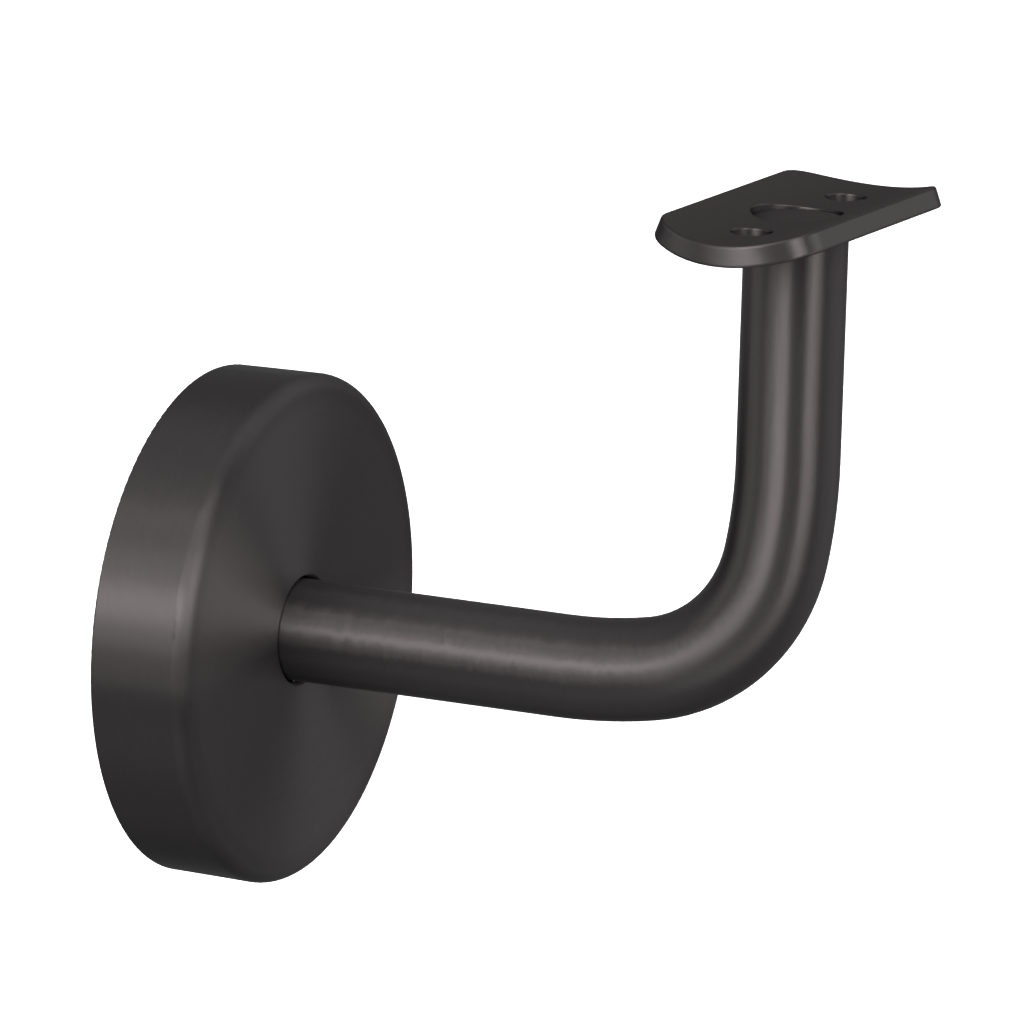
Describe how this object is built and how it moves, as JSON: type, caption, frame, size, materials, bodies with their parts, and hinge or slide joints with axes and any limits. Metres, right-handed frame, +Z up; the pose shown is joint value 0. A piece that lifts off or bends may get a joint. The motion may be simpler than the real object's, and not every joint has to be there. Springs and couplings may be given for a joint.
{
  "type": "handrail bracket",
  "caption": "Wall-mounted handrail bracket: round cover plate, a bent round arm that turns up through a right angle, and a hollowed saddle plate with screw holes for the rail.",
  "frame": {"origin": "centre of the wall plate's back face, in the plane of the wall", "axes": "+X away from the wall along the arm, +Y along the handrail, +Z up along the arm's upright leg"},
  "size_m": [0.0977, 0.07, 0.1022],
  "materials": {
    "cover_finish": "anthracite, circular brushed face and brushed rim",
    "bar_finish": "anthracite, brushed round the bar",
    "saddle_finish": "anthracite, satin",
    "plate_finish": "anthracite, coarse satin",
    "weld_finish": "anthracite over the weld's ripples"
  },
  "bodies": {
    "bracket": {"wall_plate": "plate_finish", "wall_plate_weld": "weld_finish", "arm_bar": "bar_finish", "saddle": "saddle_finish"},
    "cover": {"rosette_cover": "cover_finish"}
  },
  "joints": [
    {"name": "cover_slide", "type": "slide", "parent": "bracket", "child": "cover", "axis": [1, 0, 0], "range_m": [0, 0.038]}
  ]
}
